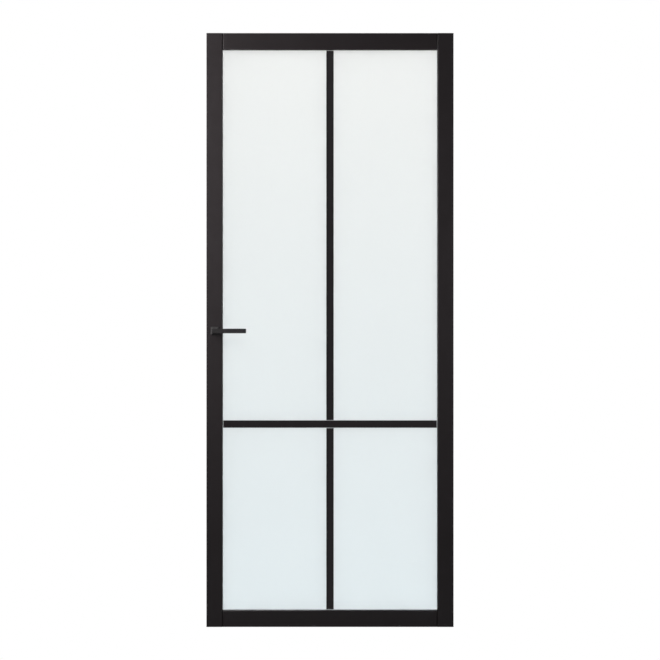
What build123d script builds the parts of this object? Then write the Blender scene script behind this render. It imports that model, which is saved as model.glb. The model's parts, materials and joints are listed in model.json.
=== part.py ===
from build123d import *
from math import cos, radians, sin
import os

# A slim-framed interior door leaf with one satin pane, applied glazing bars and a lever handle.
# Millimetres. X runs from the lock side to the hinge side, Y from the front face to the rear
# face, Z up. The origin is the middle of the leaf's bottom edge.

# Leaf and frame
leaf_width = 880.0
leaf_height = 2115.0
leaf_thickness = 40.0
stile_width = 58.0
rail_height = 60.0
inner_arris = 3.0
outer_arris = 1.0

# Dowelled corners
dowel_diameter = 10.0
dowel_in_stile = 30.0
dowel_in_rail = 50.0
dowel_first = 14.0
dowel_pitch = 20.0
dowel_end_gap = 1.0
dowel_chamfer = 1.5

# Pane, tapes, blocks and beads
glass_thickness = 8.0
glass_cover = 10.0
glass_edge_gap = 3.0
glass_arris = 0.8
tape_thickness = 1.0
tape_setback = 1.5
block_length = 80.0
block_inset = 250.0
bead_fit = 0.15
pin_diameter = 1.6
pin_head_diameter = 2.8
pin_head_height = 1.0
pin_length = 28.0
pin_sink = 0.3
side_pin_count = 8
end_pin_count = 3
pin_margin = 90.0

# Applied glazing bars
bar_width = 26.0
bar_thickness = 5.0
bar_arris = 0.5
bar_end_gap = 1.2
cross_bar_height = 722.0
bar_tape_margin = 3.0

# Lever handle
handle_height = 1054.0
backset = 30.0
lever_section = 16.0
lever_reach = 113.0
lever_projection = 52.0
lever_round = 0.8
lever_tip_round = 1.8
lever_gap = 0.4
shank_diameter = 14.0
shank_depth = 10.0
spindle_size = 8.0
spindle_length = 98.0
spindle_chamfer = 0.5
grub_diameter = 5.0
grub_length = 3.6
grub_out = 20.0
grub_socket = 2.5
grub_socket_depth = 1.6

# Roses
rose_size = 30.0
rose_top = 17.0
rose_rim = 1.5
rose_height = 8.5
rose_base_size = 23.0
rose_base_thickness = 3.0
bush_wall = 1.0
bush_depth = 7.0
bush_flange = 0.7
bush_flange_thickness = 1.5
rose_screw_offset = 8.3
rose_screw_diameter = 2.6
rose_screw_head = 4.6
rose_screw_length = 12.0

# Latch case and its forend
forend_thickness = 3.0
forend_width = 20.0
forend_length = 174.0
forend_screw_pitch = 146.0
forend_screw_diameter = 4.0
forend_screw_head = 8.0
forend_screw_length = 22.0
case_depth = 39.0
case_thickness = 16.0
case_wall = 1.5
case_low = -35.0
case_high = 45.0
case_screw_diameter = 3.0
case_screw_head = 5.4
case_screw_length = 8.0
case_post_diameter = 6.4
case_post_inset = 6.5

# Bolt, follower and springs
latch_travel = 9.0
lost_motion = 2.0
latch_width = 12.0
latch_low = 10.0
latch_high = 30.0
latch_head_length = 19.0
latch_arris = 1.0
latch_tail_height = 5.0
latch_tail_width = 5.0
latch_hook_thickness = 2.0
latch_hook_low = 11.0
hub_diameter = 17.0
journal_diameter = 13.0
arm_width = 3.0
arm_nose_diameter = 5.0
arm_lean = 27.0
handle_swing = 45.0
spring_wire = 0.8
spring_diameter = 5.8
latch_spring_height = 26.5
spring_peg_diameter = 3.4
spring_peg_length = 3.0
latch_spring_pitch = 3.0
return_spring_pitch = 3.6

# Hinge seats routed in the hinge edge
hinge_length = 89.0
hinge_seat_width = 32.0
hinge_seat_depth = 2.5
hinge_seat_round = 6.0
hinge_hole_diameter = 3.0
hinge_hole_depth = 30.0
hinge_hole_across = 16.0
hinge_hole_along = 60.0
hinge_low = 250.0
hinge_high_inset = 235.0

# Clearances and the angle of the countersinks
face_gap = 0.3
running_gap = 0.1
hole_gap = 0.1
pocket_gap = 0.4
play = 0.4
countersink = 90.0

# Worked out from the sizes above
half_width = leaf_width / 2
half_thickness = leaf_thickness / 2
sight_x = half_width - stile_width
sight_low = rail_height
sight_high = leaf_height - rail_height
rebate_depth = glass_cover + glass_edge_gap
rebate_x = sight_x + rebate_depth
rebate_low = sight_low - rebate_depth
rebate_high = sight_high + rebate_depth
seat_y = glass_thickness / 2 + tape_thickness
glass_half_width = sight_x + glass_cover
glass_low = sight_low - glass_cover
glass_high = sight_high + glass_cover
handle_x = backset - half_width
case_front = forend_thickness - backset
case_back = case_front + case_depth
case_middle = (case_low + case_high) / 2
case_height = case_high - case_low
case_room = case_thickness / 2 - case_wall
bush_bore = shank_diameter + 2 * running_gap
bush_diameter = bush_bore + 2 * bush_wall
handle_bore = bush_diameter + 2 * bush_flange + 2 * hole_gap
nose_radius = arm_nose_diameter / 2
arm_sweep = sin(radians(arm_lean)) + sin(radians(handle_swing - arm_lean))
arm_radius = (latch_travel + lost_motion) / arm_sweep
return_spring_height = -arm_radius * cos(radians(arm_lean)) - play
hinge_heights = [
    hinge_low,
    (hinge_low + leaf_height - hinge_high_inset) / 2,
    leaf_height - hinge_high_inset,
]

os.makedirs("parts", exist_ok=True)


def save(builder, name):
    builder.part.label = name
    export_step(builder.part, f"parts/{name}.step")


# The rose screws stand on a diagonal about the handle axis
rose_screw_spots = [(-rose_screw_offset, rose_screw_offset), (rose_screw_offset, -rose_screw_offset)]


def handle_plane(side, out):
    # Square to the handle axis, "out" mm outside the front face (side -1) or rear face (side 1)
    y = side * (half_thickness + out)
    return Plane(origin=(handle_x, y, handle_height), x_dir=(1, 0, 0), z_dir=(0, side, 0))


def lock_plane(y):
    # Local x is X and local y is Z, both from the handle axis, and the normal points to the front
    return Plane(origin=(handle_x, y, handle_height), x_dir=(1, 0, 0), z_dir=(0, -1, 0))


def edge_plane(side, x, z):
    # Square to X at the lock edge (side -1) or hinge edge (side 1), local y up, normal outwards
    return Plane(origin=(x, 0, z), x_dir=(0, side, 0), z_dir=(side, 0, 0))


def leaf_plane(y):
    # Parallel to the leaf's faces, local x is X and local y is Z, and the normal points to the front
    return Plane(origin=(0, y, 0), x_dir=(1, 0, 0), z_dir=(0, -1, 0))


def slab(plane, x_range, y_range):
    # A rectangle between two pairs of values on a plane
    width = x_range[1] - x_range[0]
    height = y_range[1] - y_range[0]
    centre = ((x_range[0] + x_range[1]) / 2, (y_range[0] + y_range[1]) / 2)
    with BuildSketch(plane) as area:
        with Locations(centre):
            Rectangle(width, height)
    return area.sketch


def dowel_heights():
    lows = [dowel_first, dowel_first + dowel_pitch]
    return lows + [leaf_height - z for z in lows]


def spread(low, high, count):
    # Evenly spaced values between two limits, a margin in from each
    step = (high - low - 2 * pin_margin) / (count - 1)
    return [low + pin_margin + i * step for i in range(count)]


def pin_places():
    # Sight-line points of the bead pins, each with the direction in which the pin is driven
    y = (seat_y + half_thickness) / 2
    places = []
    for z in spread(sight_low, sight_high, side_pin_count):
        for side in (-1, 1):
            places.append(((side * sight_x, y, z), (side, 0, 0)))
    for x in spread(-sight_x, sight_x, end_pin_count):
        places.append(((x, y, sight_low), (0, 0, -1)))
        places.append(((x, y, sight_high), (0, 0, 1)))
    return places


def pin_plane(point, direction):
    return Plane(origin=point, x_dir=(0, 1, 0), z_dir=tuple(-d for d in direction))


def drill_pins(chosen):
    # Holes of the bead pins that the filter picks, with room for their heads
    for point, direction in pin_places():
        if not chosen(point, direction):
            continue
        plane = pin_plane(point, direction)
        with BuildSketch(plane) as shank:
            Circle(pin_diameter / 2 + hole_gap)
        extrude(shank.sketch, amount=-(pin_sink + pin_length + hole_gap), mode=Mode.SUBTRACT)
        with BuildSketch(plane) as head:
            Circle(pin_head_diameter / 2 + hole_gap)
        extrude(head.sketch, amount=-(pin_sink + pin_head_height + hole_gap), mode=Mode.SUBTRACT)


# Stiles: full height, a fixed lip at the front and a rebate open to the rear
def stile_section(side):
    points = [
        (half_width, outer_arris - half_thickness),
        (half_width - outer_arris, -half_thickness),
        (sight_x + inner_arris, -half_thickness),
        (sight_x, inner_arris - half_thickness),
        (sight_x, -seat_y),
        (rebate_x, -seat_y),
        (rebate_x, half_thickness),
        (half_width - outer_arris, half_thickness),
        (half_width, half_thickness - outer_arris),
    ]
    with BuildSketch(Plane.XY) as section:
        with BuildLine():
            Polyline(*[(side * x, y) for x, y in points], close=True)
        make_face()
    return section.sketch


def dowel_holes(side, x, depth):
    # Blind holes along X that start at x and run towards the side
    for z in dowel_heights():
        with BuildSketch(edge_plane(side, x, z)) as hole:
            Circle(dowel_diameter / 2 + hole_gap)
        extrude(hole.sketch, amount=depth + dowel_end_gap, mode=Mode.SUBTRACT)


with BuildPart() as hinge_stile:
    extrude(stile_section(1), amount=leaf_height)
    dowel_holes(1, rebate_x, dowel_in_stile)
    drill_pins(lambda point, direction: direction[0] > 0)
    for z in hinge_heights:
        with BuildSketch(edge_plane(1, half_width, z)):
            with Locations((half_thickness - hinge_seat_width / 2 + hinge_seat_round / 2, 0)):
                RectangleRounded(hinge_seat_width + hinge_seat_round, hinge_length, hinge_seat_round)
        extrude(amount=-hinge_seat_depth, mode=Mode.SUBTRACT)
        with BuildSketch(edge_plane(1, half_width - hinge_seat_depth, z)):
            with Locations((half_thickness - hinge_seat_width / 2, 0)):
                with GridLocations(hinge_hole_across, hinge_hole_along, 2, 2):
                    Circle(hinge_hole_diameter / 2)
        extrude(amount=-hinge_hole_depth, mode=Mode.SUBTRACT)
save(hinge_stile, "hinge_stile")

with BuildPart() as lock_stile:
    extrude(stile_section(-1), amount=leaf_height)
    dowel_holes(-1, -rebate_x, dowel_in_stile)
    drill_pins(lambda point, direction: direction[0] < 0)
    with BuildSketch(edge_plane(-1, -half_width, handle_height + case_middle)):
        SlotOverall(forend_length + 2 * face_gap, forend_width + 2 * face_gap, rotation=90)
    extrude(amount=-forend_thickness, mode=Mode.SUBTRACT)
    pocket_width = case_thickness + 2 * pocket_gap
    with BuildSketch(edge_plane(-1, -half_width, handle_height + case_middle)):
        SlotOverall(case_height + pocket_width, pocket_width, rotation=90)
    extrude(amount=-(forend_thickness + case_depth + pocket_gap), mode=Mode.SUBTRACT)
    with BuildSketch(edge_plane(-1, forend_thickness - half_width, handle_height + case_middle)):
        with GridLocations(0, forend_screw_pitch, 1, 2):
            Circle(forend_screw_diameter / 2 + hole_gap)
    extrude(amount=-forend_screw_length, mode=Mode.SUBTRACT)
    with BuildSketch(handle_plane(-1, 0)):
        Circle(handle_bore / 2)
    extrude(amount=-leaf_thickness, mode=Mode.SUBTRACT)
    for side in (-1, 1):
        with BuildSketch(handle_plane(side, 0)):
            with Locations(*rose_screw_spots):
                Circle(rose_screw_diameter / 2 + hole_gap)
        extrude(amount=-(rose_screw_length - rose_base_thickness + hole_gap), mode=Mode.SUBTRACT)
save(lock_stile, "lock_stile")


# Rails: their front lip butts between the stiles, and the body behind it fills the stiles' rebate
def rail(name, edge, inward):
    # edge is the rail's outer height, inward is 1 for the bottom rail and -1 for the top rail
    sight = edge + inward * rail_height
    floor = sight - inward * rebate_depth
    points = [
        (outer_arris - half_thickness, edge),
        (-half_thickness, edge + inward * outer_arris),
        (-half_thickness, sight - inward * inner_arris),
        (inner_arris - half_thickness, sight),
        (-seat_y, sight),
        (-seat_y, floor),
        (half_thickness, floor),
        (half_thickness, edge + inward * outer_arris),
        (half_thickness - outer_arris, edge),
    ]
    length = 2 * (rebate_x - hole_gap)
    with BuildPart() as body:
        with BuildSketch(Plane.YZ.offset(-length / 2)):
            with BuildLine():
                Polyline(*points, close=True)
            make_face()
        extrude(amount=length)
        for side in (-1, 1):
            shoulder = side * (sight_x - hole_gap)
            end_cut = sorted((shoulder, side * rebate_x))
            low, high = sorted((edge, sight))
            front = leaf_plane(-half_thickness)
            extrude(slab(front, end_cut, (low, high)), amount=seat_y - half_thickness, mode=Mode.SUBTRACT)
            dowel_holes(-side, side * (rebate_x - hole_gap), dowel_in_rail)
        front_ends = body.edges().filter_by(Axis.Z).group_by(Axis.Y)[0]
        chamfer(front_ends, inner_arris)
        drill_pins(lambda point, direction: direction[2] * inward < 0)
    save(body, name)


rail("bottom_rail", 0.0, 1)
rail("top_rail", leaf_height, -1)

with BuildPart() as rail_dowels:
    for side in (-1, 1):
        for z in dowel_heights():
            start = rebate_x - dowel_in_rail
            with BuildSketch(edge_plane(side, side * start, z)) as section:
                Circle(dowel_diameter / 2)
            extrude(amount=dowel_in_rail + dowel_in_stile)
    chamfer(rail_dowels.edges().filter_by(GeomType.CIRCLE), dowel_chamfer)
save(rail_dowels, "rail_dowels")

# Pane
with BuildPart() as glass_pane:
    across = (-glass_half_width, glass_half_width)
    extrude(slab(leaf_plane(glass_thickness / 2), across, (glass_low, glass_high)), amount=glass_thickness)
    chamfer(glass_pane.edges().filter_by(Axis.Y, reverse=True), glass_arris)
save(glass_pane, "glass_pane")


# Foam tapes between the pane and its seats, four strips a side
def glazing_tape(name, side):
    outer_x = glass_half_width - glass_arris
    inner_x = sight_x + tape_setback
    low = (glass_low + glass_arris, sight_low - tape_setback)
    high = (sight_high + tape_setback, glass_high - glass_arris)
    strips = [
        ((-outer_x, -inner_x), (low[0], high[1])),
        ((inner_x, outer_x), (low[0], high[1])),
        ((face_gap - inner_x, inner_x - face_gap), low),
        ((face_gap - inner_x, inner_x - face_gap), high),
    ]
    with BuildPart() as tape:
        start = -glass_thickness / 2 if side < 0 else seat_y
        for across, upward in strips:
            extrude(slab(leaf_plane(start), across, upward), amount=tape_thickness)
    save(tape, name)


glazing_tape("glazing_tape_front", -1)
glazing_tape("glazing_tape_rear", 1)

# Blocks that carry and centre the pane in the rebate
with BuildPart() as setting_blocks:
    block_height = glass_edge_gap - hole_gap
    block_plane = leaf_plane(glass_thickness / 2)
    for side in (-1, 1):
        middle = side * (glass_half_width - block_inset)
        across = (middle - block_length / 2, middle + block_length / 2)
        extrude(slab(block_plane, across, (rebate_low, rebate_low + block_height)), amount=glass_thickness)
        wall = sorted((side * rebate_x, side * (rebate_x - block_height)))
        for z in (glass_low + block_inset, glass_high - block_inset):
            upward = (z - block_length / 2, z + block_length / 2)
            extrude(slab(block_plane, wall, upward), amount=glass_thickness)
save(setting_blocks, "setting_blocks")


# Rear glazing beads, mitred at the corners and pinned through their sight faces
def bead(name, across, upward, corners):
    # across and upward say which way the bead lies from the pane's middle
    along, inward = (Axis.Z, Axis.X) if across else (Axis.X, Axis.Z)
    with BuildPart() as strip:
        with BuildSketch(leaf_plane(half_thickness)):
            with BuildLine():
                Polyline(*corners, close=True)
            make_face()
        extrude(amount=half_thickness - seat_y)
        rear_edges = strip.edges().group_by(Axis.Y)[-1].filter_by(along)
        chamfer(rear_edges.sort_by(inward)[0 if across + upward > 0 else -1], inner_arris)
        drill_pins(lambda point, direction: direction == (across, 0, upward))
    save(strip, name)


bead_x = rebate_x - bead_fit
bead_low = rebate_low + bead_fit
bead_high = rebate_high - bead_fit

for side, name in ((-1, "bead_lock_side"), (1, "bead_hinge_side")):
    corners = [
        (side * bead_x, bead_low + bead_fit),
        (side * bead_x, bead_high - bead_fit),
        (side * sight_x, sight_high - bead_fit),
        (side * sight_x, sight_low + bead_fit),
    ]
    bead(name, side, 0, corners)

for upward, name in ((-1, "bead_bottom"), (1, "bead_top")):
    outer = bead_low if upward < 0 else bead_high
    inner = sight_low if upward < 0 else sight_high
    corners = [
        (bead_fit - bead_x, outer),
        (bead_x - bead_fit, outer),
        (sight_x - bead_fit, inner),
        (bead_fit - sight_x, inner),
    ]
    bead(name, 0, upward, corners)

with BuildPart() as bead_pins:
    for point, direction in pin_places():
        sunk = tuple(p + d * pin_sink for p, d in zip(point, direction))
        with BuildSketch(pin_plane(sunk, direction)) as head:
            Circle(pin_head_diameter / 2)
        extrude(amount=-pin_head_height)
        with BuildSketch(pin_plane(sunk, direction)) as shank:
            Circle(pin_diameter / 2)
        extrude(amount=-pin_length)
save(bead_pins, "bead_pins")


# Applied bars on both faces of the pane: one full-width cross bar, one bar above and one below
def bar_spans():
    cross = (cross_bar_height - bar_width / 2, cross_bar_height + bar_width / 2)
    upright = (-bar_width / 2, bar_width / 2)
    return {
        "cross_bar": ((bar_end_gap - sight_x, sight_x - bar_end_gap), cross),
        "upper_bar": (upright, (cross[1] + bar_end_gap, sight_high - bar_end_gap)),
        "lower_bar": (upright, (sight_low + bar_end_gap, cross[0] - bar_end_gap)),
    }


for side, where in ((-1, "front"), (1, "rear")):
    glass_face = side * glass_thickness / 2
    tape_face = glass_face + side * tape_thickness
    bar_face = tape_face + side * bar_thickness
    for name, (across, upward) in bar_spans().items():
        with BuildPart() as bar:
            extrude(slab(leaf_plane(max(tape_face, bar_face)), across, upward), amount=bar_thickness)
            outer_face = bar.faces().sort_by(Axis.Y)[0 if side < 0 else -1]
            chamfer(outer_face.edges(), bar_arris)
        save(bar, f"{name}_{where}")
    with BuildPart() as bar_tape:
        for across, upward in bar_spans().values():
            strip_x = (across[0] + bar_tape_margin, across[1] - bar_tape_margin)
            strip_z = (upward[0] + bar_tape_margin, upward[1] - bar_tape_margin)
            extrude(slab(leaf_plane(max(glass_face, tape_face)), strip_x, strip_z), amount=tape_thickness)
    save(bar_tape, f"bar_tape_{where}")


# Lever: one square bar bent off the neck, a round shank through the rose and a square bore
def lever(name, side):
    left = handle_x - lever_section / 2
    right = handle_x + lever_section / 2
    tip = handle_x + lever_reach
    root_y = side * (half_thickness + rose_height + lever_gap)
    inner_y = side * (half_thickness + lever_projection - lever_section)
    outer_y = side * (half_thickness + lever_projection)
    neck = [(right, inner_y), (right, root_y), (left, root_y)]
    points = neck + [(left, outer_y), (tip, outer_y), (tip, inner_y)]
    with BuildPart() as arm:
        with BuildSketch(Plane.XY.offset(handle_height - lever_section / 2)):
            with BuildLine():
                Polyline(*points, close=True)
            make_face()
        extrude(amount=lever_section)
        tip_edges = arm.faces().sort_by(Axis.X)[-1].edges()
        root_edges = arm.faces().filter_by(Axis.Y).sort_by(Axis.Y)[0 if side > 0 else -1].edges()
        long_edges = arm.edges() - tip_edges - root_edges
        fillet(long_edges, lever_round)
        fillet(arm.faces().sort_by(Axis.X)[-1].edges(), lever_tip_round)
        with BuildSketch(handle_plane(side, rose_height + lever_gap)):
            Circle(shank_diameter / 2)
        extrude(amount=-(rose_height + lever_gap + shank_depth))
        with BuildSketch(handle_plane(side, -shank_depth)):
            Rectangle(spindle_size + hole_gap, spindle_size + hole_gap)
        extrude(amount=spindle_length / 2 - half_thickness + shank_depth + hole_gap, mode=Mode.SUBTRACT)
        with BuildSketch(grub_plane(side)):
            Circle(grub_diameter / 2 + hole_gap)
        extrude(amount=-(lever_section - spindle_size) / 2, mode=Mode.SUBTRACT)
    save(arm, name)


def grub_plane(side):
    # On the underside of the neck, facing down
    y = side * (half_thickness + grub_out)
    return Plane(origin=(handle_x, y, handle_height - lever_section / 2), x_dir=(1, 0, 0), z_dir=(0, 0, -1))


lever("lever_front", -1)
lever("lever_rear", 1)

with BuildPart() as grub_screws:
    for side in (-1, 1):
        seat = grub_plane(side).offset(-(lever_section - spindle_size) / 2 + hole_gap)
        with BuildSketch(seat):
            Circle(grub_diameter / 2)
        extrude(amount=grub_length)
        with BuildSketch(seat.offset(grub_length)):
            RegularPolygon(grub_socket / 2, 6, major_radius=False)
        extrude(amount=-grub_socket_depth, mode=Mode.SUBTRACT)
save(grub_screws, "grub_screws")

with BuildPart() as spindle:
    with BuildSketch(handle_plane(1, spindle_length / 2 - half_thickness)):
        Rectangle(spindle_size, spindle_size)
    extrude(amount=-spindle_length)
    chamfer(spindle.faces().filter_by(Axis.Y).edges(), spindle_chamfer)
save(spindle, "spindle")


# Rose: a pyramid-sided cover over a screwed base, with a flanged bush for the lever's shank
def rose(where, side):
    with BuildPart() as cover:
        with BuildSketch(handle_plane(side, 0)):
            Rectangle(rose_size, rose_size)
        extrude(amount=rose_rim)
        with BuildSketch(handle_plane(side, rose_rim)):
            Rectangle(rose_size, rose_size)
        with BuildSketch(handle_plane(side, rose_height)):
            Rectangle(rose_top, rose_top)
        loft()
        with BuildSketch(handle_plane(side, 0)):
            Rectangle(rose_base_size + 2 * hole_gap, rose_base_size + 2 * hole_gap)
        extrude(amount=rose_base_thickness + hole_gap, mode=Mode.SUBTRACT)
        with BuildSketch(handle_plane(side, 0)):
            Circle(shank_diameter / 2 + face_gap)
        extrude(amount=rose_height, mode=Mode.SUBTRACT)
    save(cover, f"rose_{where}")
    with BuildPart() as base:
        with BuildSketch(handle_plane(side, 0)):
            Rectangle(rose_base_size, rose_base_size)
            Circle(bush_diameter / 2 + hole_gap, mode=Mode.SUBTRACT)
        extrude(amount=rose_base_thickness)
        with Locations(handle_plane(side, rose_base_thickness)):
            with Locations(*rose_screw_spots):
                CounterSinkHole(
                    radius=rose_screw_diameter / 2 + hole_gap,
                    counter_sink_radius=rose_screw_head / 2 + hole_gap,
                    depth=rose_base_thickness,
                    counter_sink_angle=countersink,
                )
    save(base, f"rose_base_{where}")
    with BuildPart() as bush:
        with BuildSketch(handle_plane(side, rose_base_thickness)):
            Circle(bush_diameter / 2)
        extrude(amount=-(rose_base_thickness + bush_depth))
        with BuildSketch(handle_plane(side, 0)):
            Circle(bush_diameter / 2 + bush_flange)
        extrude(amount=-bush_flange_thickness)
        with BuildSketch(handle_plane(side, rose_base_thickness)):
            Circle(bush_bore / 2)
        extrude(amount=-(rose_base_thickness + bush_depth), mode=Mode.SUBTRACT)
    save(bush, f"rose_bush_{where}")


rose("front", -1)
rose("rear", 1)


def countersunk_screw(plane, radius, head_radius, length):
    # Profile turned about the plane's normal, the head's face on the plane and the shank behind it
    reach = head_radius - radius
    with BuildSketch(Plane(origin=plane.origin, x_dir=plane.x_dir, z_dir=plane.y_dir * -1)) as half:
        with BuildLine():
            outline = [(0, 0), (head_radius, 0), (radius, -reach), (radius, radius - length), (0, -length)]
            Polyline(*outline, close=True)
        make_face()
    revolve(half.sketch, axis=Axis(plane.origin, plane.z_dir))


with BuildPart() as rose_screws:
    for side in (-1, 1):
        face = handle_plane(side, rose_base_thickness)
        for x, z in rose_screw_spots:
            countersunk_screw(
                Plane(origin=face.from_local_coords((x, z, 0)), x_dir=face.x_dir, z_dir=face.z_dir),
                rose_screw_diameter / 2,
                rose_screw_head / 2,
                rose_screw_length,
            )
save(rose_screws, "rose_screws")


# Latch case: a folded box open to the front, posts for the cover's screws, pegs for the springs
def case_posts():
    return [
        (case_front + case_post_inset, case_low + case_post_inset),
        (case_back - case_post_inset, case_low + case_post_inset),
        ((case_front + case_back) / 2, case_high - case_post_inset),
    ]


def latch_slot():
    with BuildSketch(edge_plane(-1, -half_width, handle_height + (latch_low + latch_high) / 2)) as slot:
        Rectangle(latch_width + 2 * face_gap, latch_high - latch_low + 2 * face_gap)
    return slot.sketch


def spring_peg(x, z, direction):
    # A round peg on the wall at x that points along X
    origin = (handle_x + x, 0, handle_height + z)
    with BuildSketch(Plane(origin=origin, x_dir=(0, 1, 0), z_dir=(direction, 0, 0))) as peg:
        Circle(spring_peg_diameter / 2)
    extrude(peg.sketch, amount=spring_peg_length)


with BuildPart() as lock_case:
    outline = slab(lock_plane(case_thickness / 2), (case_front, case_back), (case_low, case_high))
    extrude(outline, amount=case_thickness - case_wall)
    hollow = slab(
        lock_plane(case_room),
        (case_front + case_wall, case_back - case_wall),
        (case_low + case_wall, case_high - case_wall),
    )
    extrude(hollow, amount=2 * case_room, mode=Mode.SUBTRACT)
    with BuildSketch(lock_plane(case_room)):
        with Locations(*case_posts()):
            Circle(case_post_diameter / 2)
    extrude(amount=2 * case_room)
    with BuildSketch(lock_plane(-case_room)):
        with Locations(*case_posts()):
            Circle(case_screw_diameter / 2 + hole_gap)
    extrude(amount=-case_screw_length, mode=Mode.SUBTRACT)
    with BuildSketch(lock_plane(case_thickness / 2)):
        Circle(journal_diameter / 2 + running_gap)
    extrude(amount=case_wall, mode=Mode.SUBTRACT)
    extrude(latch_slot(), amount=-(forend_thickness + case_wall), mode=Mode.SUBTRACT)
    spring_peg(case_back - case_wall, latch_spring_height, -1)
    spring_peg(case_front + case_wall, return_spring_height, 1)
save(lock_case, "lock_case")

with BuildPart() as lock_cover:
    extrude(slab(lock_plane(-case_room), (case_front, case_back), (case_low, case_high)), amount=case_wall)
    with BuildSketch(lock_plane(-case_room)):
        Circle(journal_diameter / 2 + running_gap)
    extrude(amount=case_wall, mode=Mode.SUBTRACT)
    with Locations(lock_plane(-case_thickness / 2)):
        with Locations(*case_posts()):
            CounterSinkHole(
                radius=case_screw_diameter / 2 + hole_gap,
                counter_sink_radius=case_screw_head / 2 + hole_gap,
                depth=case_wall,
                counter_sink_angle=countersink,
            )
save(lock_cover, "lock_cover")

with BuildPart() as cover_screws:
    for x, z in case_posts():
        face = lock_plane(-case_thickness / 2)
        countersunk_screw(
            Plane(origin=face.from_local_coords((x, z, 0)), x_dir=face.x_dir, z_dir=face.z_dir),
            case_screw_diameter / 2,
            case_screw_head / 2,
            case_screw_length,
        )
save(cover_screws, "cover_screws")

with BuildPart() as forend_plate:
    with BuildSketch(edge_plane(-1, -half_width, handle_height + case_middle)):
        SlotOverall(forend_length, forend_width, rotation=90)
    extrude(amount=-forend_thickness)
    extrude(latch_slot(), amount=-forend_thickness, mode=Mode.SUBTRACT)
    with Locations(edge_plane(-1, -half_width, handle_height + case_middle)):
        with GridLocations(0, forend_screw_pitch, 1, 2):
            CounterSinkHole(
                radius=forend_screw_diameter / 2 + hole_gap,
                counter_sink_radius=forend_screw_head / 2 + hole_gap,
                depth=forend_thickness,
                counter_sink_angle=countersink,
            )
save(forend_plate, "forend_plate")

with BuildPart() as forend_screws:
    for sign in (-1, 1):
        face = edge_plane(-1, -half_width, handle_height + case_middle + sign * forend_screw_pitch / 2)
        countersunk_screw(face, forend_screw_diameter / 2, forend_screw_head / 2, forend_screw_length)
save(forend_screws, "forend_screws")

# Follower: a hub on two journals with a square hole and two opposite arms with round noses
with BuildPart() as follower:
    with BuildSketch(lock_plane(case_room - face_gap)):
        Circle(hub_diameter / 2)
    extrude(amount=2 * (case_room - face_gap))
    with BuildSketch(lock_plane(case_thickness / 2 - face_gap)):
        Circle(journal_diameter / 2)
    extrude(amount=case_thickness - 2 * face_gap)
    with BuildSketch(lock_plane(latch_tail_width / 2)):
        with Locations(Location((0, 0, 0), (0, 0, 90 + arm_lean))):
            Rectangle(2 * arm_radius, arm_width)
            with GridLocations(2 * arm_radius, 0, 2, 1):
                Circle(nose_radius)
    extrude(amount=latch_tail_width)
    with BuildSketch(lock_plane(case_thickness / 2)):
        Rectangle(spindle_size + hole_gap, spindle_size + hole_gap)
    extrude(amount=case_thickness, mode=Mode.SUBTRACT)
save(follower, "follower")

# Latch bolt: a plain head that slides in the forend, and a tail with a hook behind the follower's
# upper nose. A magnet in the frame draws it out, and the follower draws it back.
with BuildPart() as latch_bolt:
    head_end = latch_head_length - backset
    hook_front = arm_radius * sin(radians(handle_swing - arm_lean)) + nose_radius + play
    hook_back = hook_front + latch_hook_thickness
    tail_low = arm_radius + nose_radius + play
    tail_high = tail_low + latch_tail_height
    head = slab(lock_plane(latch_width / 2), (-backset, head_end), (latch_low, latch_high))
    extrude(head, amount=latch_width)
    chamfer(latch_bolt.faces().sort_by(Axis.X)[0].edges(), latch_arris)
    tail_plane = lock_plane(latch_tail_width / 2)
    extrude(slab(tail_plane, (head_end, hook_back), (tail_low, tail_high)), amount=latch_tail_width)
    extrude(slab(tail_plane, (hook_front, hook_back), (latch_hook_low, tail_high)), amount=latch_tail_width)
    spring_peg(head_end, latch_spring_height, 1)
save(latch_bolt, "latch_bolt")


# Coil springs along X, drawn at their rest length
def coil(name, start, end, z, pitch):
    radius = (spring_diameter - spring_wire) / 2
    origin = (handle_x + start + spring_wire / 2, 0, handle_height + z)
    length = end - start - spring_wire
    with BuildPart() as wire:
        with BuildLine() as path:
            Helix(pitch, length, radius, center=origin, direction=(1, 0, 0))
        with BuildSketch(Plane(origin=path.line @ 0, z_dir=path.line % 0)):
            Circle(spring_wire / 2)
        sweep(is_frenet=True)
    save(wire, name)


bolt_end = latch_head_length - backset + play
back_wall = case_back - case_wall - play
coil("latch_spring", bolt_end, back_wall, latch_spring_height, latch_spring_pitch)

front_wall = case_front + case_wall + play
lower_nose = arm_radius * sin(radians(arm_lean)) - nose_radius - play
coil("return_spring", front_wall, lower_nose, return_spring_height, return_spring_pitch)
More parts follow.
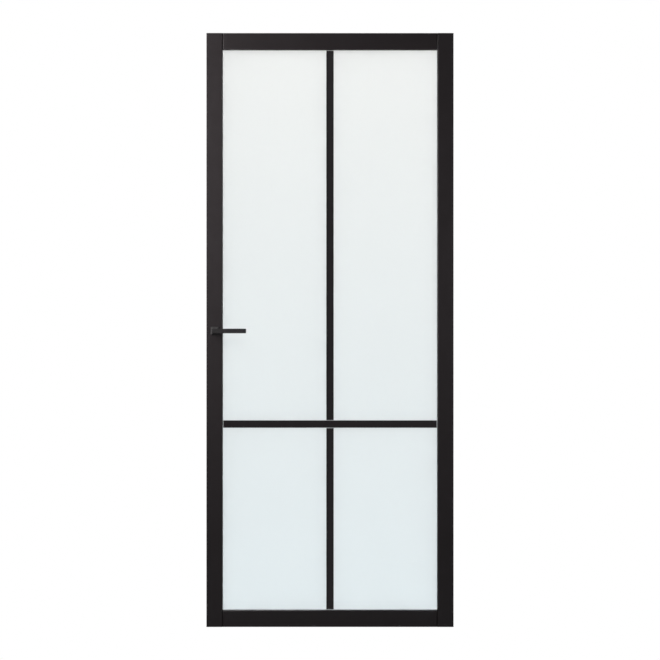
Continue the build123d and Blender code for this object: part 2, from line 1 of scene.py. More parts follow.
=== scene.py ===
import bpy
import bmesh
import json
from math import pi, radians
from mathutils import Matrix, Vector

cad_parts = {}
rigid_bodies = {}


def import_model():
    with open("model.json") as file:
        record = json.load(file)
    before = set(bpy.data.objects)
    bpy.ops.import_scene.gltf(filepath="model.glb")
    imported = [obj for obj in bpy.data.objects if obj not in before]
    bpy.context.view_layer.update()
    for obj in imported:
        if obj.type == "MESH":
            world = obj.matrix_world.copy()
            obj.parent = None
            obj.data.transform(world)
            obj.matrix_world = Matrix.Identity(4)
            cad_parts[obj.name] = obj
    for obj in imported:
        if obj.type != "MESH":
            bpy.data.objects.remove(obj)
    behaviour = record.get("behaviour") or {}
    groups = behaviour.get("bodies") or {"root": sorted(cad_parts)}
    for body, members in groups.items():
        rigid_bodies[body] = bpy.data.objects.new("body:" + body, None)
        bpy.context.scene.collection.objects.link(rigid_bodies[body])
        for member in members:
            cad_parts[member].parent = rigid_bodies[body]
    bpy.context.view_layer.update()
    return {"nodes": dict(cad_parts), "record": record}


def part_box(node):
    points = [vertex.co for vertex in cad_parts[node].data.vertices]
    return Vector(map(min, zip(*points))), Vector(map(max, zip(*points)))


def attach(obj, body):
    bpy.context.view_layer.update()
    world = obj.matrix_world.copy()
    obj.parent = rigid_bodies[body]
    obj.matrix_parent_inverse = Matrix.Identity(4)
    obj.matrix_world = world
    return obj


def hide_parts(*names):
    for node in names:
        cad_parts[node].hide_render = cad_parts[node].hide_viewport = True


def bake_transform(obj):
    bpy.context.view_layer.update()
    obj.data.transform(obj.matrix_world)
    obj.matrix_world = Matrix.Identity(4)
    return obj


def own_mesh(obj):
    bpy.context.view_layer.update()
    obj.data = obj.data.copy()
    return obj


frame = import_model()
leafLow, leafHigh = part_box("lock_stile")[0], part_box("hinge_stile")[1]
leafMiddle = (leafLow + leafHigh) / 2
print("stage 1: frame loaded,", len(frame["nodes"]), "nodes")


# Camera, straight on at the middle of the leaf
cameraLook = {
    "distance": 6.5,        # from the leaf's front face
    "pictureWidth": 2.350,  # metres across the picture at the front face
    "sensor": 36.0,
}


def makeCamera():
    data = bpy.data.cameras.new("photoCamera")
    data.sensor_width = cameraLook["sensor"]
    data.lens = cameraLook["sensor"] * cameraLook["distance"] / cameraLook["pictureWidth"]
    camera = bpy.data.objects.new("photoCamera", data)
    camera.location = (leafMiddle.x, leafLow.y - cameraLook["distance"], leafMiddle.z)
    camera.rotation_euler = (pi / 2, 0, 0)
    bpy.context.scene.collection.objects.link(camera)
    bpy.context.scene.camera = camera


# Studio: white surroundings, darker behind the camera, so that the lacquer stays near black
studio = {
    "white": (1.0, 1.0, 1.0),
    "seenStrength": 1.0,
    "lightColour": (0.93, 0.97, 1.0),
    "lightStrength": 0.43,
    "darkShare": 0.06,       # how bright the room is straight behind the camera
    "darkFrom": -0.85,       # Y part of the direction where it is darkest
    "darkTo": -0.15,         # and where it has reached full white
    "floorDrop": 0.14,       # the leaf hangs clear of the floor, as on its hinges
    "floorSize": 14.0,
}


def makeWorld():
    world = bpy.data.worlds.new("studio")
    bpy.context.scene.world = world
    world.use_nodes = True
    nodes, links = world.node_tree.nodes, world.node_tree.links
    nodes.clear()
    coordinate = nodes.new("ShaderNodeTexCoord")
    split = nodes.new("ShaderNodeSeparateXYZ")
    fade = nodes.new("ShaderNodeMapRange")
    fade.interpolation_type = "SMOOTHSTEP"
    fade.inputs["From Min"].default_value = studio["darkFrom"]
    fade.inputs["From Max"].default_value = studio["darkTo"]
    fade.inputs["To Min"].default_value = studio["darkShare"] * studio["lightStrength"]
    fade.inputs["To Max"].default_value = studio["lightStrength"]
    room = nodes.new("ShaderNodeBackground")
    room.inputs["Color"].default_value = (*studio["lightColour"], 1)
    seen = nodes.new("ShaderNodeBackground")
    seen.inputs["Color"].default_value = (*studio["white"], 1)
    seen.inputs["Strength"].default_value = studio["seenStrength"]
    rays = nodes.new("ShaderNodeLightPath")
    mix = nodes.new("ShaderNodeMixShader")
    out = nodes.new("ShaderNodeOutputWorld")
    links.new(coordinate.outputs["Generated"], split.inputs[0])
    links.new(split.outputs["Y"], fade.inputs["Value"])
    links.new(fade.outputs["Result"], room.inputs["Strength"])
    links.new(rays.outputs["Is Camera Ray"], mix.inputs["Fac"])
    links.new(room.outputs[0], mix.inputs[1])
    links.new(seen.outputs[0], mix.inputs[2])
    links.new(mix.outputs[0], out.inputs["Surface"])


lamps = {
    # place, target, width, height, watts, colour
    "stripLamp": ((-1.15, -0.9, 1.7), (-0.4, 0.0, 1.5), 0.3, 1.4, 20.5, (1.0, 0.98, 0.985)),
    "upperLamp": ((-1.0, -1.0, 2.9), (-0.3, 0.0, 1.5), 0.6, 0.6, 3.0, (1.0, 0.97, 0.95)),
    "hingeLamp": ((1.15, -0.9, 1.4), (0.4, 0.0, 1.3), 0.3, 0.9, 2.9, (1.0, 0.99, 1.0)),
    "lowHingeLamp": ((1.15, -0.9, 0.95), (0.4, 0.0, 0.9), 0.3, 0.7, 1.6, (1.0, 0.99, 1.0)),
    "sideLamp": ((-3.6, -0.5, 1.8), (0.0, -0.05, 1.2), 0.6, 2.2, 32.0, (1.0, 0.97, 0.95)),
    "overLamp": ((-0.5, -0.45, 4.2), (-0.3, -0.05, 1.2), 1.2, 0.5, 7.0, (1.0, 0.97, 0.95)),
    "rearLamp": ((0.0, 1.6, 3.4), (0.0, 0.0, 1.2), 1.6, 0.8, 20.0, (1.0, 0.98, 0.97)),
}

evenLamps = {
    # direction of the light, strength, colour, angle, what receives it, whether the leaf shades it
    "paneLampFront": ((-0.25, 0.80, -0.55), 2.30, (0.985, 1.0, 1.0), 0.35, "pane", False),
    "paneLampRear": ((0.25, -0.80, -0.55), 1.60, (0.985, 1.0, 1.0), 0.35, "pane", False),
    "shadowLamp": ((-0.24, 0.80, -0.51), 0.32, (1.0, 1.0, 1.0), 0.07, "pane", True),
    "barLampFront": ((-0.25, 0.80, -0.55), 1.35, (1.0, 0.97, 0.97), 0.35, "bars", False),
    "barLampRear": ((0.25, -0.80, -0.55), 1.25, (1.0, 0.97, 0.97), 0.35, "bars", False),
}


def makeLamps():
    # The pane and the bars are lit evenly, by lamps of their own, so these ones leave them out
    evenlyLit = bpy.data.collections.new("evenlyLit")
    paneOnly = bpy.data.collections.new("paneOnly")
    barsOnly = bpy.data.collections.new("barsOnly")
    paneOnly.objects.link(frame["nodes"]["glass_pane"])
    for name, piece in easedParts.items():
        if "_bar_" in name:
            barsOnly.objects.link(piece)
    for part in list(paneOnly.objects) + list(barsOnly.objects):
        evenlyLit.objects.link(part)
    for entry in evenlyLit.collection_objects:
        entry.light_linking.link_state = "EXCLUDE"
    for name, (place, target, width, height, watts, colour) in lamps.items():
        data = bpy.data.lights.new(name, "AREA")
        data.shape = "RECTANGLE"
        data.size = width
        data.size_y = height
        data.energy = watts
        data.color = colour
        lamp = bpy.data.objects.new(name, data)
        lamp.location = place
        lamp.rotation_euler = (Vector(target) - Vector(place)).to_track_quat("-Z", "Y").to_euler()
        bpy.context.scene.collection.objects.link(lamp)
        lamp.light_linking.receiver_collection = evenlyLit
    return {"pane": paneOnly, "bars": barsOnly}


def makeEvenLamps(receivers, floor):
    blockers = bpy.data.collections.new("floorOnly")
    blockers.objects.link(floor)
    for name, (direction, strength, colour, angle, part, shaded) in evenLamps.items():
        data = bpy.data.lights.new(name, "SUN")
        data.energy = strength
        data.color = colour
        data.angle = angle
        lamp = bpy.data.objects.new(name, data)
        lamp.rotation_euler = Vector(direction).to_track_quat("-Z", "Y").to_euler()
        bpy.context.scene.collection.objects.link(lamp)
        lamp.light_linking.receiver_collection = receivers[part]
        if not shaded:
            lamp.light_linking.blocker_collection = blockers


def makeFloor():
    mesh = bpy.data.meshes.new("studioFloor")
    half, z = studio["floorSize"] / 2, leafLow.z - studio["floorDrop"]
    corners = [(-half, -half, z), (half, -half, z), (half, half, z), (-half, half, z)]
    mesh.from_pydata(corners, [], [(0, 1, 2, 3)])
    mesh.materials.append(floorFinish())
    floor = bpy.data.objects.new("studioFloor", mesh)
    bpy.context.scene.collection.objects.link(floor)
    return floor


# Finishes: each one has its own dictionary, and its pattern follows Object coordinates
def startFinish(name):
    material = bpy.data.materials.new(name)
    material.use_nodes = True
    nodes, links = material.node_tree.nodes, material.node_tree.links
    nodes.clear()
    shader = nodes.new("ShaderNodeBsdfPrincipled")
    out = nodes.new("ShaderNodeOutputMaterial")
    links.new(shader.outputs["BSDF"], out.inputs["Surface"])
    coordinate = nodes.new("ShaderNodeTexCoord")
    return material, nodes, links, shader, coordinate.outputs["Object"]


noiseLook = {
    "detail": 2.0,
    "roughness": 0.5,
    "low": 0.3,              # the part of a noise's range that shows
    "high": 0.7,
}


def addNoise(nodes, links, coordinate, scale, detail=noiseLook["detail"], stretch=(1, 1, 1),
             roughness=noiseLook["roughness"]):
    mapping = nodes.new("ShaderNodeMapping")
    mapping.inputs["Scale"].default_value = stretch
    noise = nodes.new("ShaderNodeTexNoise")
    noise.inputs["Scale"].default_value = scale
    noise.inputs["Detail"].default_value = detail
    noise.inputs["Roughness"].default_value = roughness
    links.new(coordinate, mapping.inputs["Vector"])
    links.new(mapping.outputs["Vector"], noise.inputs["Vector"])
    return noise.outputs["Fac"]


def addRange(nodes, links, value, low, high, fromLow=noiseLook["low"], fromHigh=noiseLook["high"]):
    spread = nodes.new("ShaderNodeMapRange")
    spread.inputs["From Min"].default_value = fromLow
    spread.inputs["From Max"].default_value = fromHigh
    spread.inputs["To Min"].default_value = low
    spread.inputs["To Max"].default_value = high
    links.new(value, spread.inputs["Value"])
    return spread.outputs["Result"]


def addColours(nodes, links, value, low, high, fromLow=noiseLook["low"], fromHigh=noiseLook["high"]):
    mix = nodes.new("ShaderNodeMix")
    mix.data_type = "RGBA"
    mix.inputs[6].default_value = (*low, 1)    # 6, 7 and 2 are its colour sockets
    mix.inputs[7].default_value = (*high, 1)
    links.new(addRange(nodes, links, value, 0.0, 1.0, fromLow, fromHigh), mix.inputs["Factor"])
    return mix.outputs[2]


def addBump(nodes, links, shader, height, distance, below=None):
    bump = nodes.new("ShaderNodeBump")
    bump.inputs["Strength"].default_value = 1.0
    bump.inputs["Distance"].default_value = distance
    links.new(height, bump.inputs["Height"])
    if below:
        links.new(below.outputs["Normal"], bump.inputs["Normal"])
    links.new(bump.outputs["Normal"], shader.inputs["Normal"])
    return bump


frameLacquer = {
    "deep": (0.0255, 0.0215, 0.0226),
    "light": (0.0290, 0.0246, 0.0260),
    "cloudScale": 5.0,       # slow drift of tone over the leaf, per metre
    "roughness": (0.30, 0.37),
    "hazeScale": 38.0,
    "peelScale": 420.0,      # sprayed surface
    "peelHeight": 0.000018,
    "dustScale": 2600.0,
    "dustHeight": 0.000003,
    "specular": 0.35,
}

barLacquer = {
    "deep": (0.0255, 0.0215, 0.0232),
    "light": (0.0285, 0.0242, 0.0262),
    "cloudScale": 7.0,
    "roughness": (0.34, 0.40),
    "hazeScale": 60.0,
    "peelScale": 700.0,
    "peelHeight": 0.000012,
    "dustScale": 3000.0,
    "dustHeight": 0.000002,
    "specular": 0.35,
}

handleCoat = {
    "deep": (0.0150, 0.0135, 0.0138),
    "light": (0.0200, 0.0182, 0.0186),
    "cloudScale": 60.0,
    "roughness": (0.40, 0.50),
    "hazeScale": 300.0,
    "peelScale": 1500.0,     # powder coat: finer and rougher than the frame's lacquer
    "peelHeight": 0.000034,
    "dustScale": 5200.0,
    "dustHeight": 0.000006,
    "specular": 0.5,
}

blackOxide = {
    "deep": (0.0100, 0.0100, 0.0105),
    "light": (0.0220, 0.0215, 0.0215),
    "cloudScale": 240.0,
    "roughness": (0.34, 0.48),
    "hazeScale": 700.0,
    "peelScale": 2600.0,
    "peelHeight": 0.000006,
    "dustScale": 6000.0,
    "dustHeight": 0.000003,
    "specular": 0.6,
}

sprayDetail = {
    "cloud": 3.0,
    "haze": 4.0,
    "peel": 1.0,
    "dust": 2.0,
}


def lacquerFinish(name, look):
    material, nodes, links, shader, place = startFinish(name)
    cloud = addNoise(nodes, links, place, look["cloudScale"], sprayDetail["cloud"])
    haze = addNoise(nodes, links, place, look["hazeScale"], sprayDetail["haze"])
    links.new(addColours(nodes, links, cloud, look["deep"], look["light"]), shader.inputs["Base Color"])
    links.new(addRange(nodes, links, haze, *look["roughness"]), shader.inputs["Roughness"])
    peel = addNoise(nodes, links, place, look["peelScale"], sprayDetail["peel"])
    peelBump = addBump(nodes, links, shader, peel, look["peelHeight"])
    dust = addNoise(nodes, links, place, look["dustScale"], sprayDetail["dust"])
    addBump(nodes, links, shader, dust, look["dustHeight"], below=peelBump)
    shader.inputs["Specular IOR Level"].default_value = look["specular"]
    return material


satinGlass = {
    # painted light: the pane is lighter and neutral at the top and cooler and darker towards the foot,
    # standing in for how the room's light falls on it
    "paintedTopLight": (0.905, 0.905, 0.895),
    "paintedFootShade": (0.845, 0.890, 0.905),
    "transmission": 0.30,
    "roughness": (0.46, 0.52),
    "grainScale": 900.0,
    "grainDetail": 3.0,
    "grainHeight": 0.000020,
    "ior": 1.5,
}


def glassFinish():
    material, nodes, links, shader, place = startFinish("satinGlass")
    split = nodes.new("ShaderNodeSeparateXYZ")
    links.new(place, split.inputs[0])
    foot, top = satinGlass["paintedFootShade"], satinGlass["paintedTopLight"]
    # painted light: the base colour runs from the cooler, darker foot up to the lighter top of the leaf
    tone = addColours(nodes, links, split.outputs["Z"], foot, top, leafLow.z, leafHigh.z)
    links.new(tone, shader.inputs["Base Color"])
    grain = addNoise(nodes, links, place, satinGlass["grainScale"], satinGlass["grainDetail"])
    links.new(addRange(nodes, links, grain, *satinGlass["roughness"]), shader.inputs["Roughness"])
    addBump(nodes, links, shader, grain, satinGlass["grainHeight"])
    shader.inputs["Transmission Weight"].default_value = satinGlass["transmission"]
    shader.inputs["IOR"].default_value = satinGlass["ior"]
    return material


zincPlate = {
    "deep": (0.46, 0.47, 0.49),
    "light": (0.66, 0.67, 0.68),
    "spangleScale": 160.0,
    "roughness": (0.28, 0.44),
    "strokeScale": 60.0,
    "stroke": (1.0, 18.0, 18.0),   # rolled along X
    "strokeHeight": 0.000006,
}

nickelBolt = {
    "deep": (0.42, 0.40, 0.37),
    "light": (0.55, 0.53, 0.50),
    "spangleScale": 90.0,
    "roughness": (0.20, 0.32),
    "strokeScale": 70.0,
    "stroke": (12.0, 12.0, 1.0),   # ground up and down
    "strokeHeight": 0.000002,
}

springWire = {
    "deep": (0.32, 0.32, 0.33),
    "light": (0.52, 0.52, 0.53),
    "spangleScale": 900.0,
    "roughness": (0.22, 0.36),
    "strokeScale": 400.0,
    "stroke": (6.0, 1.0, 1.0),
    "strokeHeight": 0.000003,
}

metalDetail = {
    "spangle": 2.0,
    "stroke": 5.0,
    "strokeRoughness": 0.7,
}


def metalFinish(name, look):
    material, nodes, links, shader, place = startFinish(name)
    spangle = addNoise(nodes, links, place, look["spangleScale"], metalDetail["spangle"])
    stroke = addNoise(nodes, links, place, look["strokeScale"], metalDetail["stroke"], look["stroke"],
                      metalDetail["strokeRoughness"])
    links.new(addColours(nodes, links, spangle, look["deep"], look["light"]), shader.inputs["Base Color"])
    links.new(addRange(nodes, links, stroke, *look["roughness"]), shader.inputs["Roughness"])
    addBump(nodes, links, shader, stroke, look["strokeHeight"])
    shader.inputs["Metallic"].default_value = 1.0
    return material


beechWood = {
    "deep": (0.40, 0.22, 0.115),
    "light": (0.60, 0.385, 0.225),
    "grainScale": 90.0,
    "grainDetail": 4.0,
    "grainRoughness": 0.6,
    "grain": (1.0, 16.0, 16.0),    # dowels and their grain run along X
    "fleckScale": 420.0,
    "fleckDetail": 2.0,
    "roughness": (0.55, 0.72),
    "grainHeight": 0.000030,
}


def woodFinish():
    material, nodes, links, shader, place = startFinish("beechWood")
    grain = addNoise(nodes, links, place, beechWood["grainScale"], beechWood["grainDetail"],
                     beechWood["grain"], beechWood["grainRoughness"])
    fleck = addNoise(nodes, links, place, beechWood["fleckScale"], beechWood["fleckDetail"],
                     beechWood["grain"])
    tone = addColours(nodes, links, grain, beechWood["deep"], beechWood["light"])
    links.new(tone, shader.inputs["Base Color"])
    links.new(addRange(nodes, links, fleck, *beechWood["roughness"]), shader.inputs["Roughness"])
    addBump(nodes, links, shader, grain, beechWood["grainHeight"])
    return material


blackFoam = {
    "deep": (0.010, 0.010, 0.010),
    "light": (0.030, 0.030, 0.031),
    "cellScale": 1400.0,
    "roughness": (0.80, 0.95),
    "cellHeight": 0.000080,
    "subsurface": 0.0,
}

mouldedNylon = {
    "deep": (0.095, 0.095, 0.102),
    "light": (0.135, 0.135, 0.142),
    "cellScale": 500.0,
    "roughness": (0.42, 0.55),
    "cellHeight": 0.000015,
    "subsurface": 0.05,
}


def mouldedFinish(name, look):
    material, nodes, links, shader, place = startFinish(name)
    cells = nodes.new("ShaderNodeTexVoronoi")
    cells.inputs["Scale"].default_value = look["cellScale"]
    links.new(place, cells.inputs["Vector"])
    height = cells.outputs["Distance"]
    links.new(addColours(nodes, links, height, look["deep"], look["light"]), shader.inputs["Base Color"])
    links.new(addRange(nodes, links, height, *look["roughness"]), shader.inputs["Roughness"])
    addBump(nodes, links, shader, height, look["cellHeight"])
    shader.inputs["Subsurface Weight"].default_value = look["subsurface"]
    return material


paleFloor = {
    "low": (0.20, 0.20, 0.20),
    "high": (0.23, 0.23, 0.23),
    "cloudScale": 0.6,
    "roughness": 0.9,
    "seenStrength": 1.0,     # white to the camera, dim in the lacquer and the pane
}


def floorFinish():
    material, nodes, links, shader, place = startFinish("paleFloor")
    cloud = addNoise(nodes, links, place, paleFloor["cloudScale"])
    tone = addColours(nodes, links, cloud, paleFloor["low"], paleFloor["high"])
    links.new(tone, shader.inputs["Base Color"])
    shader.inputs["Roughness"].default_value = paleFloor["roughness"]
    seen = nodes.new("ShaderNodeEmission")
    seen.inputs["Color"].default_value = (*studio["white"], 1)
    seen.inputs["Strength"].default_value = paleFloor["seenStrength"]
    rays = nodes.new("ShaderNodeLightPath")
    mix = nodes.new("ShaderNodeMixShader")
    links.new(rays.outputs["Is Camera Ray"], mix.inputs["Fac"])
    links.new(shader.outputs["BSDF"], mix.inputs[1])
    links.new(seen.outputs[0], mix.inputs[2])
    links.new(mix.outputs[0], nodes["Material Output"].inputs["Surface"])
    return material


# Softened copies: the frame's machined parts with their long edges eased as paint and sanding leave them
eased = {
    # how far each edge is eased and the shortest edge that is, in metres, and the finish
    "lock_stile": (0.0005, 0.150, "frame_lacquer"),
    "hinge_stile": (0.0005, 0.150, "frame_lacquer"),
    "top_rail": (0.0005, 0.020, "frame_lacquer"),
    "bottom_rail": (0.0005, 0.020, "frame_lacquer"),
    "bead_lock_side": (0.0004, 0.004, "frame_lacquer"),
    "bead_hinge_side": (0.0004, 0.004, "frame_lacquer"),
    "bead_top": (0.0004, 0.004, "frame_lacquer"),
    "bead_bottom": (0.0004, 0.004, "frame_lacquer"),
    "cross_bar_front": (0.0002, 0.004, "bar_lacquer"),
    "upper_bar_front": (0.0002, 0.004, "bar_lacquer"),
    "lower_bar_front": (0.0002, 0.004, "bar_lacquer"),
    "cross_bar_rear": (0.0002, 0.004, "bar_lacquer"),
    "upper_bar_rear": (0.0002, 0.004, "bar_lacquer"),
    "lower_bar_rear": (0.0002, 0.004, "bar_lacquer"),
    "rose_front": (0.0003, 0.005, "handle_black"),
    "rose_rear": (0.0003, 0.005, "handle_black"),
}

easing = {
    "weld": 0.000001,
    "flatAngle": 0.4,        # degrees: faces nearer than this are one face
    "sharpAngle": 20.0,      # degrees: edges sharper than this are eased
    "segments": 3,
    "roundness": 0.5,
}


def weldedCopy(name):
    mesh = bmesh.new()
    mesh.from_mesh(frame["nodes"][name].data)
    bmesh.ops.remove_doubles(mesh, verts=mesh.verts, dist=easing["weld"])
    return mesh


def easedPart(name, width, shortest, slot):
    mesh = weldedCopy(name)
    flat = radians(easing["flatAngle"])
    bmesh.ops.dissolve_limit(mesh, angle_limit=flat, verts=mesh.verts, edges=mesh.edges)
    sharp = radians(easing["sharpAngle"])
    edges = [e for e in mesh.edges if len(e.link_faces) == 2 and e.is_convex
             and e.calc_length() > shortest and e.calc_face_angle() > sharp]
    made = bmesh.ops.bevel(mesh, geom=edges, offset=width, offset_type="OFFSET",
                           segments=easing["segments"], profile=easing["roundness"],
                           affect="EDGES", clamp_overlap=True)
    for face in made["faces"]:
        face.smooth = True
    part = bpy.data.meshes.new(name + "_eased")
    mesh.to_mesh(part)
    mesh.free()
    part.materials.append(finishes[slot])
    piece = bpy.data.objects.new(name + "_eased", part)
    bpy.context.scene.collection.objects.link(piece)
    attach(piece, "leaf")
    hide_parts(name)
    return piece


# Pins and screws: the tree draws one at every point, its head towards the point's aim
beadPin = {
    "node": "bead_pins",
    "slot": "black_screw",
    "sizes": {"Head Width": 2.8, "Head Height": 1.0, "Shank Width": 1.6, "Length": 28.0, "Point": 3.0},
    "crown": (0.55, 0.35),   # flat part of the head's width, and the height over which it falls
}

forendScrew = {
    "node": "forend_screws",
    "slot": "black_screw",
    "sizes": {"Head Width": 8.0, "Shank Width": 4.0, "Length": 22.0, "Point": 5.0,
              "Pitch": 1.8, "Cross Length": 4.0, "Cross Width": 1.0, "Cross Depth": 1.6},
}

roseScrew = {
    "node": "rose_screws",
    "slot": "zinc_steel",
    "sizes": {"Head Width": 4.6, "Shank Width": 2.6, "Length": 12.0, "Point": 3.0,
              "Pitch": 1.2, "Cross Length": 2.2, "Cross Width": 0.6, "Cross Depth": 0.9},
}

coverScrew = {
    "node": "cover_screws",
    "slot": "zinc_steel",
    "sizes": {"Head Width": 5.4, "Shank Width": 3.0, "Length": 8.0, "Point": 0.6,
              "Pitch": 0.5, "Cross Length": 2.5, "Cross Width": 0.7, "Cross Depth": 1.0},
}

turning = {
    # millimetres, because these pieces are drawn in them and scaled once at the end
    "sides": 24,
    "step": 0.01,            # height of a ring that is meant to be flat
    "coreShare": 0.72,       # core of a thread against its outside
    "ridgeSides": 3,
    "ridgeShare": 0.8,       # thread ridge's radius against the thread's depth
    "ridgeLift": 0.1,        # how far its middle stands off the core, against the same
    "turnPoints": 20,
    "threadShare": 0.62,     # how much of the length is threaded
    "secondArm": 0.94,       # depth of the cross's second arm against its first
    "weld": 0.001,
    "toMetres": 0.001,
    "sharpAngle": 35.0,
    "endBand": 0.0001,       # metres: corners this near a fastener's end belong to it
}


def addNode(tree, kind, values=None, **settings):
    node = tree.nodes.new(kind)
    for name, value in settings.items():
        setattr(node, name, value)
    for name, value in (values or {}).items():
        if isinstance(value, bpy.types.NodeSocket):
            tree.links.new(value, node.inputs[name])
        else:
            node.inputs[name].default_value = value
    return node


def calculate(tree, operation, first, second):
    return addNode(tree, "ShaderNodeMath", {0: first, 1: second}, operation=operation).outputs[0]


def raised(tree, geometry, height):
    place = addNode(tree, "ShaderNodeCombineXYZ", {"Z": height}).outputs[0]
    return addNode(tree, "GeometryNodeTransform", {"Geometry": geometry, "Translation": place}).outputs[0]


def turned(tree, rings):
    # rings are (height, radius) pairs from the head's face down to the point
    join = addNode(tree, "GeometryNodeJoinGeometry")
    for (high, highRadius), (low, lowRadius) in zip(rings, rings[1:]):
        wall = addNode(tree, "GeometryNodeMeshCone", {
            "Vertices": turning["sides"], "Radius Top": highRadius, "Radius Bottom": lowRadius,
            "Depth": calculate(tree, "SUBTRACT", high, low)}, fill_type="NONE")
        tree.links.new(raised(tree, wall.outputs["Mesh"], low), join.inputs[0])
    return addNode(tree, "GeometryNodeMergeByDistance", {
        "Geometry": join.outputs[0], "Distance": turning["weld"]}).outputs[0]


def pinShape(tree, size):
    crownWidth, crownHeight = beadPin["crown"]
    headRadius = calculate(tree, "MULTIPLY", size["Head Width"], 0.5)
    shankRadius = calculate(tree, "MULTIPLY", size["Shank Width"], 0.5)
    underHead = calculate(tree, "MULTIPLY", size["Head Height"], -1.0)
    return turned(tree, [
        (0.0, 0.0),
        (-turning["step"], calculate(tree, "MULTIPLY", headRadius, crownWidth)),
        (calculate(tree, "MULTIPLY", size["Head Height"], -crownHeight), headRadius),
        (underHead, headRadius),
        (calculate(tree, "SUBTRACT", underHead, turning["step"]), shankRadius),
        (calculate(tree, "SUBTRACT", size["Point"], size["Length"]), shankRadius),
        (calculate(tree, "MULTIPLY", size["Length"], -1.0), 0.0),
    ])


def screwShape(tree, size):
    headRadius = calculate(tree, "MULTIPLY", size["Head Width"], 0.5)
    shankRadius = calculate(tree, "MULTIPLY", size["Shank Width"], 0.5)
    coreRadius = calculate(tree, "MULTIPLY", shankRadius, turning["coreShare"])
    threadLength = calculate(tree, "MULTIPLY", size["Length"], turning["threadShare"])
    threadFoot = calculate(tree, "SUBTRACT", size["Point"], size["Length"])
    threadTop = calculate(tree, "ADD", threadFoot, threadLength)
    body = turned(tree, [
        (0.0, 0.0),
        (-turning["step"], headRadius),
        (calculate(tree, "SUBTRACT", shankRadius, headRadius), shankRadius),
        (threadTop, shankRadius),
        (calculate(tree, "SUBTRACT", threadTop, turning["step"]), coreRadius),
        (threadFoot, coreRadius),
        (calculate(tree, "MULTIPLY", size["Length"], -1.0), 0.0),
    ])
    for wide, narrow, share in (("Cross Length", "Cross Width", 1.0),
                                ("Cross Width", "Cross Length", turning["secondArm"])):
        depth = calculate(tree, "MULTIPLY", size["Cross Depth"], 2.0 * share)  # half of it is above the head
        extent = addNode(tree, "ShaderNodeCombineXYZ", {"X": size[wide], "Y": size[narrow], "Z": depth})
        arm = addNode(tree, "GeometryNodeMeshCube", {"Size": extent.outputs[0]})
        body = addNode(tree, "GeometryNodeMeshBoolean", {"Mesh 1": body, "Mesh 2": arm.outputs["Mesh"]},
                       operation="DIFFERENCE", solver="EXACT").outputs["Mesh"]
    threadDepth = calculate(tree, "SUBTRACT", shankRadius, coreRadius)
    ridgeLift = calculate(tree, "MULTIPLY", threadDepth, turning["ridgeLift"])
    pathRadius = calculate(tree, "ADD", coreRadius, ridgeLift)
    turns = calculate(tree, "DIVIDE", threadLength, size["Pitch"])
    path = addNode(tree, "GeometryNodeCurveSpiral", {
        "Resolution": turning["turnPoints"], "Rotations": turns,
        "Start Radius": pathRadius, "End Radius": pathRadius, "Height": threadLength})
    ridgeRadius = calculate(tree, "MULTIPLY", threadDepth, turning["ridgeShare"])
    profile = addNode(tree, "GeometryNodeCurvePrimitiveCircle", {
        "Resolution": turning["ridgeSides"], "Radius": ridgeRadius})
    ridge = addNode(tree, "GeometryNodeCurveToMesh", {
        "Curve": path.outputs[0], "Profile Curve": profile.outputs["Curve"], "Fill Caps": True})
    join = addNode(tree, "GeometryNodeJoinGeometry")
    tree.links.new(body, join.inputs[0])
    tree.links.new(raised(tree, ridge.outputs[0], threadFoot), join.inputs[0])
    return join.outputs[0]


def islandsOf(mesh):
    left, islands = set(mesh.verts), []
    while left:
        queue, island = [left.pop()], []
        while queue:
            vert = queue.pop()
            island.append(vert)
            near = {edge.other_vert(vert) for edge in vert.link_edges} & left
            left -= near
            queue.extend(near)
        islands.append(island)
    return islands


def spotsOf(name):
    # Head and aim of every fastener that the frame has in a node
    mesh, spots = weldedCopy(name), []
    for island in islandsOf(mesh):
        group = [vert.co.copy() for vert in island]
        low = Vector([min(co[i] for co in group) for i in range(3)])
        high = Vector([max(co[i] for co in group) for i in range(3)])
        along = max(range(3), key=lambda i: high[i] - low[i])
        middle = (low + high) / 2
        ends = []
        for end in (low, high):
            centre = middle.copy()
            centre[along] = end[along]
            rim = [co for co in group if abs(co[along] - end[along]) < turning["endBand"]]
            ends.append((max((co - centre).length for co in rim), centre))
        ends.sort(key=lambda end: end[0])
        (_, point), (_, head) = ends
        spots.append((head, (head - point).normalized()))
    mesh.free()
    return sorted(spots, key=lambda spot: tuple(spot[0]))


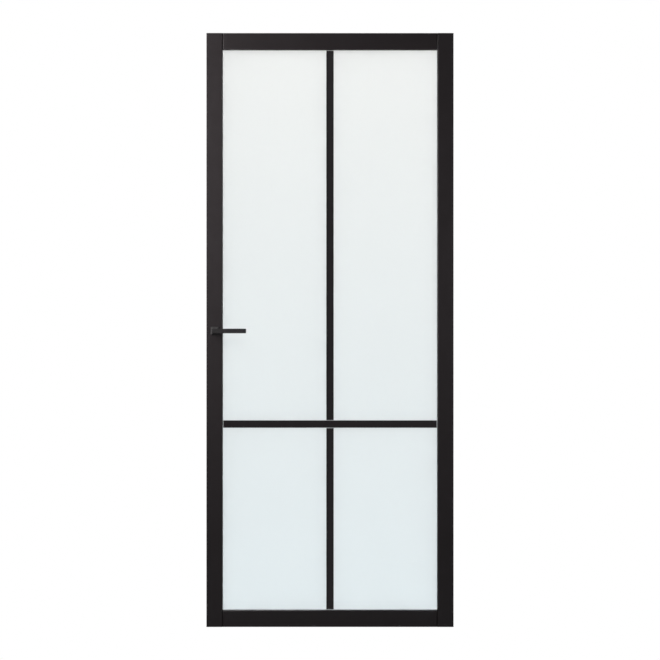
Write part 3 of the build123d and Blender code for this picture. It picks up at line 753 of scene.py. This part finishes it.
def fasteners(look, shape):
    spots = spotsOf(look["node"])
    points = bpy.data.meshes.new(look["node"] + "_points")
    points.from_pydata([spot for spot, aim in spots], [], [])
    aims = points.attributes.new("aim", "FLOAT_VECTOR", "POINT")
    for entry, (spot, aim) in zip(aims.data, spots):
        entry.vector = aim
    maker = bpy.data.objects.new(look["node"] + "_maker", points)
    bpy.context.scene.collection.objects.link(maker)

    tree = bpy.data.node_groups.new(look["node"] + "_tree", "GeometryNodeTree")
    tree.interface.new_socket("Geometry", in_out="INPUT", socket_type="NodeSocketGeometry")
    sockets = {}
    for name in look["sizes"]:
        sockets[name] = tree.interface.new_socket(name, in_out="INPUT", socket_type="NodeSocketFloat")
    tree.interface.new_socket("Geometry", in_out="OUTPUT", socket_type="NodeSocketGeometry")
    start = addNode(tree, "NodeGroupInput")
    stored = addNode(tree, "GeometryNodeInputNamedAttribute", {"Name": "aim"}, data_type="FLOAT_VECTOR")
    aim = stored.outputs["Attribute"]
    turn = addNode(tree, "FunctionNodeAlignRotationToVector", {"Vector": aim}, axis="Z")
    one = shape(tree, {name: start.outputs[name] for name in look["sizes"]})
    placed = addNode(tree, "GeometryNodeInstanceOnPoints", {
        "Points": start.outputs["Geometry"], "Instance": one, "Rotation": turn.outputs[0],
        "Scale": (turning["toMetres"],) * 3})
    solid = addNode(tree, "GeometryNodeRealizeInstances", {"Geometry": placed.outputs[0]})
    finish = addNode(tree, "GeometryNodeSetMaterial", {
        "Geometry": solid.outputs[0], "Material": finishes[look["slot"]]})
    addNode(tree, "NodeGroupOutput", {"Geometry": finish.outputs[0]})

    modifier = maker.modifiers.new("fasteners", "NODES")
    modifier.node_group = tree
    for name, value in look["sizes"].items():
        modifier[sockets[name].identifier] = value
    drawn = maker.evaluated_get(bpy.context.evaluated_depsgraph_get())
    plain = bpy.data.meshes.new_from_object(drawn)
    maker.modifiers.remove(modifier)
    bpy.data.objects.remove(maker)
    mesh = bmesh.new()
    mesh.from_mesh(plain)
    weld = turning["weld"] * turning["toMetres"]
    bmesh.ops.remove_doubles(mesh, verts=mesh.verts, dist=weld)  # the recess cuts leave double corners
    bmesh.ops.dissolve_degenerate(mesh, edges=mesh.edges, dist=weld)
    mesh.to_mesh(plain)
    mesh.free()
    plain.shade_smooth()
    plain.set_sharp_from_angle(angle=radians(turning["sharpAngle"]))
    piece = bpy.data.objects.new(look["node"] + "_drawn", plain)
    bpy.context.scene.collection.objects.link(piece)
    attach(piece, "leaf")
    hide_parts(look["node"])
    return len(spots), len(plain.polygons)


# The lock's springs: their own coils, one by the follower and one behind the bolt, both drawn at rest
returnSpring = {
    "node": "return_spring",
    "slot": "spring_steel",
    "sharpAngle": 50.0,
    "joint": "handle_turn",
    "along": (1, 0, 0),
    "closed": 0.615,         # length at the handle's limit against the length at rest
}

latchSpring = {
    "node": "latch_spring",
    "slot": "spring_steel",
    "sharpAngle": 50.0,
    "wallBody": "leaf",
    "boltBody": "latch",
    "endTurn": 0.001,        # this much of each end moves as one, in metres
}


def springPiece(look):
    mesh = weldedCopy(look["node"])
    wire = bpy.data.meshes.new(look["node"] + "_wire")
    mesh.to_mesh(wire)
    mesh.free()
    wire.materials.append(finishes[look["slot"]])
    wire.shade_smooth()
    wire.set_sharp_from_angle(angle=radians(look["sharpAngle"]))
    piece = bpy.data.objects.new(look["node"] + "_wire", wire)
    bpy.context.scene.collection.objects.link(piece)
    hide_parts(look["node"])
    return piece


def closingSpring(look):
    piece = springPiece(look)
    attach(piece, "leaf")
    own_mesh(piece)
    return len(piece.data.polygons)


def openingSpring(look):
    piece = springPiece(look)
    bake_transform(piece)
    return len(piece.data.polygons)


finishes = {
    "frame_lacquer": lacquerFinish("frameLacquer", frameLacquer),
    "bar_lacquer": lacquerFinish("barLacquer", barLacquer),
    "handle_black": lacquerFinish("handleCoat", handleCoat),
    "black_screw": lacquerFinish("blackOxide", blackOxide),
    "satin_glass": glassFinish(),
    "zinc_steel": metalFinish("zincPlate", zincPlate),
    "bolt_steel": metalFinish("nickelBolt", nickelBolt),
    "spring_steel": metalFinish("springWire", springWire),
    "dowel_beech": woodFinish(),
    "black_foam": mouldedFinish("blackFoam", blackFoam),
    "block_plastic": mouldedFinish("mouldedNylon", mouldedNylon),
}
for subpart in frame["record"]["subparts"]:
    node = frame["nodes"][subpart["node"]]
    node.data.materials.clear()
    node.data.materials.append(finishes[subpart["material_slot"]])

easedParts = {name: easedPart(name, *values) for name, values in eased.items()}
print("stage 3: edges eased on", len(easedParts), "parts")

for look, shape in ((beadPin, pinShape), (forendScrew, screwShape),
                    (roseScrew, screwShape), (coverScrew, screwShape)):
    count, faces = fasteners(look, shape)
    print("stage 4:", look["node"], count, "drawn with", faces, "faces")
print("stage 4: springs with", closingSpring(returnSpring), "and", openingSpring(latchSpring), "faces")

makeCamera()
makeWorld()
receivers = makeLamps()
makeEvenLamps(receivers, makeFloor())
print("stage 5: camera, studio and floor")

bpy.context.scene.view_settings.view_transform = "Standard"
